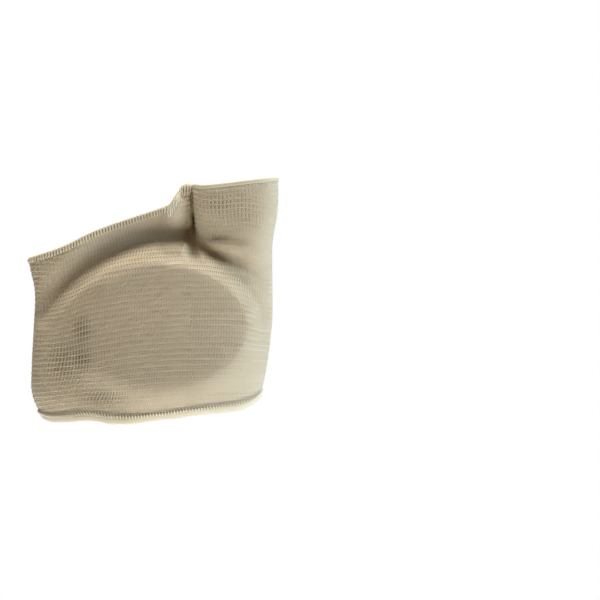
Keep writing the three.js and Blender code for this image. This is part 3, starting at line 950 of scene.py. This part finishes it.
def spin_moved(tree, given, result, repeat, stops, offset):
    """The end that both thread trees share: so many stops in each repeat, moved off the path, then spun."""
    to_curve = tree.nodes.new("GeometryNodeMeshToCurve")
    fine = tree.nodes.new("GeometryNodeResampleCurve")
    fine.mode = "LENGTH"
    move = tree.nodes.new("GeometryNodeSetPosition")
    link = tree.links.new
    link(given.outputs["Path"], to_curve.inputs["Mesh"])
    link(to_curve.outputs["Curve"], fine.inputs["Curve"])
    link(maths_node(tree, "DIVIDE", given.outputs[repeat], stops), fine.inputs["Length"])
    link(fine.outputs["Curve"], move.inputs["Geometry"])
    link(offset, move.inputs["Offset"])
    sweep_yarn(tree, given, result, move.outputs["Geometry"])


wrap_tree, given, result = start_tree("Thread wound round an edge", WRAP_INPUTS)
angle = turns_along(wrap_tree, given, "Wrap pitch")
cosine, sine = maths_node(wrap_tree, "COSINE", angle), maths_node(wrap_tree, "SINE", angle)
width_now = maths_node(wrap_tree, "MULTIPLY", cosine, given.outputs["Half width"])
height_now = maths_node(wrap_tree, "MULTIPLY", sine, given.outputs["Half height"])
both = wrap_tree.nodes.new("ShaderNodeVectorMath")
both.operation = "ADD"
wrap_tree.links.new(stored_direction(wrap_tree, "across", width_now), both.inputs[0])
wrap_tree.links.new(stored_direction(wrap_tree, "away", height_now), both.inputs[1])
spin_moved(wrap_tree, given, result, "Wrap pitch", STOPS_PER_WRAP, both.outputs["Vector"])
print("wrap tree:", len(wrap_tree.nodes), "nodes")

# %% [markdown]
# A third tree sews. It steps along a path and moves the stops up and down in waves, one for each stitch, so
# that one thread swings over the line.

# %% A tree that sews along a path
SEW_INPUTS = [
    ("Stitch length", "NodeSocketFloat"),
    ("Half height", "NodeSocketFloat"),
    *YARN_INPUTS,
]
STOPS_PER_STITCH = 8

sew_tree, given, result = start_tree("Thread sewn along a path", SEW_INPUTS)
up_or_down = maths_node(sew_tree, "SINE", turns_along(sew_tree, given, "Stitch length"))
swing = maths_node(sew_tree, "MULTIPLY", up_or_down, given.outputs["Half height"])
offset = stored_direction(sew_tree, "away", swing)
spin_moved(sew_tree, given, result, "Stitch length", STOPS_PER_STITCH, offset)
print("sew tree:", len(sew_tree.nodes), "nodes")

# %% [markdown]
# Each edge finish follows an edge of the grid. Its line lies in the middle of the wall, or further out, and a
# little beyond the edge or short of it. A bead is a closed loft of flattened circles along that line: it is
# the core under the wraps, the rolled rim of the big-toe loop and the folded hem.

# %% Edge lines and beads
AT_CUFF, AT_TOES = 0.0, 1.0  # shares of the height
EDGE_STEP = 0.02  # share of the height over which the direction away from the cloth is measured


def unit(vectors):
    return vectors / np.linalg.norm(vectors, axis=-1, keepdims=True)


def edge_line(share, columns, beyond, out=0.0, closed=True):
    """Line along an edge, with the directions away from the cloth and across its wall."""
    turn = 1 if share == AT_TOES else -1
    rim, back = knit_rings([share, share - turn * EDGE_STEP], 0.0)[:, columns]
    away = unit(rim - back)
    if closed:
        tangent = np.roll(rim, -1, axis=0) - np.roll(rim, 1, axis=0)
    else:
        tangent = np.gradient(rim, axis=0)
    across = unit(np.cross(tangent, away) * turn)
    return rim + across * (out - WALL / 2) + away * beyond, away, across


def bead(name, edge, finish, half_width, half_height, sides, squareness=1.0, swell=1.0):
    """A closed loft of flattened circles. A squareness under 1 makes their sides flatter."""
    line, away, across = edge
    count = len(line)
    angles = np.linspace(0, math.tau, sides, endpoint=False)
    cos, sin = (np.sign(f) * np.abs(f) ** squareness for f in (np.cos(angles), np.sin(angles)))
    swell = np.broadcast_to(swell, count)[:, None, None]
    rings = (
        line[:, None]
        + half_height * swell * cos[None, :, None] * away[:, None]
        + half_width * swell * sin[None, :, None] * across[:, None]
    )
    faces = []
    for j in range(count):
        after = (j + 1) % count
        for n in range(sides):
            m = (n + 1) % sides
            faces.append((j * sides + n, j * sides + m, after * sides + m, after * sides + n))
    tangent = np.gradient(line, axis=0)
    if np.einsum("ij,ij->i", np.cross(away, across), tangent).mean() < 0:
        faces = [face[::-1] for face in faces]
    return mesh_piece(name, rings.reshape(-1, 3), faces, finish)


def wound_run(edge, closed=True):
    """The path for a thread that is wound round an edge line."""
    line, away, across = edge
    return line, closed, {"away": away, "across": across}


def sewn_run(edge, closed=True):
    """The path for a thread that is sewn along an edge line."""
    line, away, _ = edge
    return line, closed, {"away": away}


toes_ring = [instep_of(c) for c in range(seam_left, 0, -1)] + list(range(seam_left + 1))
loop_ring = list(range(seam_right, side_columns))
loop_ring += [instep_of(c) for c in range(side_columns - 2, seam_left, -1)]
hem_ring = list(range(ring_columns))
print("edge stops:", len(toes_ring), len(loop_ring), "and", len(hem_ring))

# %% [markdown]
# The wraps on the four-toe edge are pale, a stitch apart, and reach a little down over the knit, so that the
# edge looks scalloped from the front. The rim of the big-toe loop is finer: a thin rolled edge with no wraps.

# %% Four-toe overlock and big-toe rim
OVERLOCK_BEYOND = 0.85  # from the edge of the knit to the middle of its finish
OVERLOCK_CORE = {"half_width": 0.85, "half_height": 1.0, "sides": 12}
OVERLOCK_WRAPS = {"Wrap pitch": 1.25, "Half width": 0.95, "Half height": 1.05, "Yarn radius": 0.42}
THREAD_SIDES = 6
RIM_BEYOND = 0.75
RIM_ROLL = {"half_width": 0.95, "half_height": 0.8, "sides": 16, "squareness": 0.6}

# The core is painted dark olive so that the gaps between the pale wraps show as painted shade.
core_finish = cloth_finish("overlock_core", "94866a", "87795d")
edge_finish = cloth_finish("edge_cream", "cfc2a6", "c4b799")
thread_finish = cloth_finish("overlock_thread", "d6cab0", "cabd9f", fuzz=0.15)

edge = edge_line(AT_TOES, toes_ring, OVERLOCK_BEYOND)
overlock_core = bead("toes_overlock_core", edge, core_finish, **OVERLOCK_CORE)
overlock_wraps = grow(
    "toes_overlock_wraps", [wound_run(edge)], wrap_tree, OVERLOCK_WRAPS, THREAD_SIDES, thread_finish
)
toe_rim = bead("big_toe_rim_roll", edge_line(AT_TOES, loop_ring, RIM_BEYOND), edge_finish, **RIM_ROLL)

# %% [markdown]
# Beside the seam the overlock turns up a steep corner and its stitches fan out, in a whiter thread that
# reaches further over the cloth. Below the rim of the big-toe loop runs a row of tiny stitches.

# %% Corner stitches and loop stitches
CORNER_STOPS = 26  # grid columns from the seam
CORNER_BEYOND = -0.3
CORNER_THREAD = {"Wrap pitch": 1.25, "Half width": 1.1, "Half height": 2.3, "Yarn radius": 0.26}
LOOP_ROW_BEYOND = -0.8
LOOP_ROW_THREAD = {"Stitch length": 1.27, "Half height": 0.65, "Yarn radius": 0.2}
SMALL_THREAD_SIDES = 5  # of threads that stand out less
white_finish = cloth_finish("white_thread", "ebe3d1", "ded4be", fuzz=0.1)

corner_columns = list(range(seam_left - CORNER_STOPS, seam_left + 1))
edge = edge_line(AT_TOES, corner_columns, CORNER_BEYOND, closed=False)
corner_stitches = grow(
    "corner_stitches", [wound_run(edge, closed=False)], wrap_tree, CORNER_THREAD, THREAD_SIDES, white_finish
)
edge = edge_line(AT_TOES, loop_ring, LOOP_ROW_BEYOND, out=WALL / 2, closed=False)
loop_path = [sewn_run(edge, closed=False)]
loop_stitches = grow(
    "loop_stitches", loop_path, sew_tree, LOOP_ROW_THREAD, SMALL_THREAD_SIDES, thread_finish
)

# %% [markdown]
# The seam between the big-toe loop and the other tube is closed by a thread that swings from one wall of the
# groove to the other. Its stitches fill the groove near the toe edges and sink out of sight towards the fork.

# %% Seam stitches
SEAM_TOP, SEAM_END = 90.2, 78.0  # heights between which the thread runs
SEAM_BESIDE = 1.0  # distance from the seam at which the brim of the groove is measured
SEAM_SUNK = 0.4  # depth of the thread below the brim
SEAM_LOST = 4.0  # and this much more at its end
SEAM_STOPS = 60
SEAM_THREAD = {"Stitch length": 1.1, "Half height": 0.5, "Yarn radius": 0.32}
seam_finish = cloth_finish("seam_thread", "a8966e", "988660", fuzz=0.1)


def seam_run(side):
    """A line down the groove of the seam, just inside its lower brim, and deeper towards the fork."""
    z = np.linspace(SEAM_TOP, SEAM_END, SEAM_STOPS)
    x = seam_x(z)
    brim = np.minimum(
        depth_at("toes", x - SEAM_BESIDE, z, side, 0),
        depth_at("big_toe", x + SEAM_BESIDE, z, side, 0),
    )
    sunk = SEAM_SUNK + SEAM_LOST * (1 - smooth_step(z, SEAM_END, (SEAM_TOP + SEAM_END) / 2))
    sideways = np.tile([1.0, 0.0, 0.0], (SEAM_STOPS, 1))
    return np.stack([x, side * (brim - sunk), z], axis=-1), False, {"away": sideways}


seam_stitches = grow(
    "seam_stitches", [seam_run(SOLE), seam_run(INSTEP)], sew_tree, SEAM_THREAD, THREAD_SIDES, seam_finish
)

# %% [markdown]
# The cuff is folded over once and stitched. The fold makes a soft roll below a stitch line. It swells and
# narrows slightly, and faint ribs cross it where the wales run over the fold.

# %% Cuff hem
HEM_BEYOND = 1.35
HEM_ROLL = {"half_width": 0.95, "half_height": 1.55, "sides": 16, "squareness": 0.7}
HEM_WAVES = [(0.05, 0.19, 0), (0.04, 0.43, 1)]  # height as a share, radians for each grid column, start
HEM_RIB = 0.03  # share by which every other grid column stands out
hem_finish = cloth_finish("hem_cream", "ddd1b8", "d1c4a8")

hem_stop = np.arange(ring_columns)
hem_swell = 1 + HEM_RIB * np.cos(np.pi * hem_stop)
for wave_height, wave_turn, wave_start in HEM_WAVES:
    hem_swell += wave_height * np.sin(hem_stop * wave_turn + wave_start)
hem = bead(
    "cuff_hem_roll", edge_line(AT_CUFF, hem_ring, HEM_BEYOND), hem_finish, **HEM_ROLL, swell=hem_swell
)

# %% [markdown]
# Two threads hold the fold. A darker one runs in the groove between the knit and the roll, and a pale one is
# whipped over it: its slanting front strokes hold the groove thread down, and it goes back through the cloth.

# %% Hem stitches
HEM_THREAD_OUT = 0.85  # of both threads, from the middle of the wall
GROOVE_BEYOND = -0.45
GROOVE_THREAD = {"Stitch length": 1.2, "Half height": 0.1, "Yarn radius": 0.36}
WHIP_BEYOND = -0.5
WHIP_THREAD = {"Wrap pitch": 1.2, "Half width": 0.4, "Half height": 0.85, "Yarn radius": 0.23}
groove_finish = cloth_finish("groove_thread", "b3a276", "a39268", fuzz=0.1)

edge = edge_line(AT_CUFF, hem_ring, GROOVE_BEYOND, out=HEM_THREAD_OUT)
groove_thread = grow(
    "hem_groove_thread", [sewn_run(edge)], sew_tree, GROOVE_THREAD, SMALL_THREAD_SIDES, groove_finish
)
edge = edge_line(AT_CUFF, hem_ring, WHIP_BEYOND, out=HEM_THREAD_OUT)
whip_stitches = grow(
    "hem_whip_stitches", [wound_run(edge)], wrap_tree, WHIP_THREAD, SMALL_THREAD_SIDES, white_finish
)
hem_stitches = [groove_thread, whip_stitches]

# %% [markdown]
# Inside, the pad is a soft lens of gel that lies against the sole of the sleeve. Seen through the cuff it is
# smooth and a little translucent, thick in the middle and thin at its edge.

# %% Gel pad
PAD_RINGS = 26
PAD_SIDES = 96
PAD_GAP = 0.3
PAD_BRIDGE = 2.0  # width of a groove that the pad lies over instead of dipping into it
PAD_FLATNESS = 4  # 2 is a plain lens, more keeps its thickness further out
GEL = {
    "Roughness": 0.32,
    "Subsurface Weight": 0.4,
    "Subsurface Radius": (0.004, 0.003, 0.002),
    "Subsurface Scale": 1.0,
}
GEL_LIGHT, GEL_DARK = "e4dccb", "d3c9b4"
CLOUD_NOISE = (90.0, 2.0)  # cells for each metre, detail
DIMPLE_NOISE = (420.0, 2.0)
DIMPLE_DEPTH = 0.2  # millimetres
DIMPLE_STRENGTH = 0.12


def pad_bed(x, z):
    """Depth of the shallowest place of the knit's inner face near a place."""
    shallowest = np.full(np.shape(x), np.inf)
    for dx in (-PAD_BRIDGE, 0, PAD_BRIDGE):
        for dz in (-PAD_BRIDGE, 0, PAD_BRIDGE):
            toes = depth_at("toes", x + dx, z + dz, SOLE, WALL)
            big_toe = depth_at("big_toe", x + dx, z + dz, SOLE, WALL)
            here = np.where(x + dx < seam_x(z + dz), toes, big_toe)
            shallowest = np.minimum(shallowest, here)
    return shallowest


def pad_face(reach, angle, lift):
    """Points of the pad, on its outer face for a lift of 0 and on its inner one for 1."""
    x = PAD["x"] + PAD["half_width"] * reach * np.cos(angle)
    z = PAD["z"] + PAD["half_height"] * reach * np.sin(angle)
    thickness = PAD["edge"] + (PAD["thickness"] - PAD["edge"]) * (1 - reach**PAD_FLATNESS)
    return np.stack([x, PAD_GAP + lift * thickness - pad_bed(x, z), z], axis=-1)


gel_finish, gel_tree, gel_shader = new_finish("clear_gel", GEL)
gel_cloud = mix_colours(gel_tree, noise(gel_tree, *CLOUD_NOISE), linear(GEL_LIGHT), linear(GEL_DARK))
gel_bump = bump_node(gel_tree, noise(gel_tree, *DIMPLE_NOISE), DIMPLE_DEPTH, DIMPLE_STRENGTH)
gel_tree.links.new(gel_cloud, gel_shader.inputs["Base Color"])
gel_tree.links.new(gel_bump.outputs["Normal"], gel_shader.inputs["Normal"])

reaches = np.sin(np.linspace(0, np.pi / 2, PAD_RINGS + 1))[1:]
angles = np.linspace(0, math.tau, PAD_SIDES, endpoint=False)
reach_grid, angle_grid = np.meshgrid(reaches, angles, indexing="ij")
outer_face = pad_face(reach_grid, angle_grid, 0.0)
inner_face = pad_face(reach_grid, angle_grid, 1.0)[::-1]
poles = [pad_face(np.array([0.0]), np.array([0.0]), lift)[0] for lift in (0.0, 1.0)]
pad_rings = np.concatenate([outer_face, inner_face])
pad_points = np.concatenate([pad_rings.reshape(-1, 3), poles])
pad_faces = []
for n in range(PAD_SIDES):
    m = (n + 1) % PAD_SIDES
    for j in range(len(pad_rings) - 1):
        a, b = j * PAD_SIDES, (j + 1) * PAD_SIDES
        pad_faces.append((a + n, a + m, b + m, b + n))
    last = (len(pad_rings) - 1) * PAD_SIDES
    pad_faces.append((len(pad_points) - 2, m, n))
    pad_faces.append((len(pad_points) - 1, last + n, last + m))
gel_pad = mesh_piece("gel_pad_lens", pad_points, [face[::-1] for face in pad_faces], gel_finish)

# %% [markdown]
# Last, every piece is tied to the frame: it rides on the root, and the solid that it stands for is hidden.
# The knit is one sheet that was cut smaller than it is worn, because it is stretched.

# %% Tie the pieces to the frame
for piece, slot, nodes in (
    (ground, "knit", ["knit_sleeve"]),
    *((loops, "knit", []) for loops in knit_loops),
    (inlay, "knit", []),
    (overlock_core, "edge_yarn", ["toes_overlock"]),
    (overlock_wraps, "edge_yarn", []),
    (toe_rim, "edge_yarn", ["big_toe_rim"]),
    (corner_stitches, "edge_yarn", []),
    (loop_stitches, "edge_yarn", []),
    (seam_stitches, "edge_yarn", []),
    (hem, "hem", ["cuff_hem"]),
    *((stitches, "hem", []) for stitches in hem_stitches),
    (gel_pad, "gel", ["gel_pad"]),
):
    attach(piece, "root")
    if nodes:
        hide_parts(*nodes)
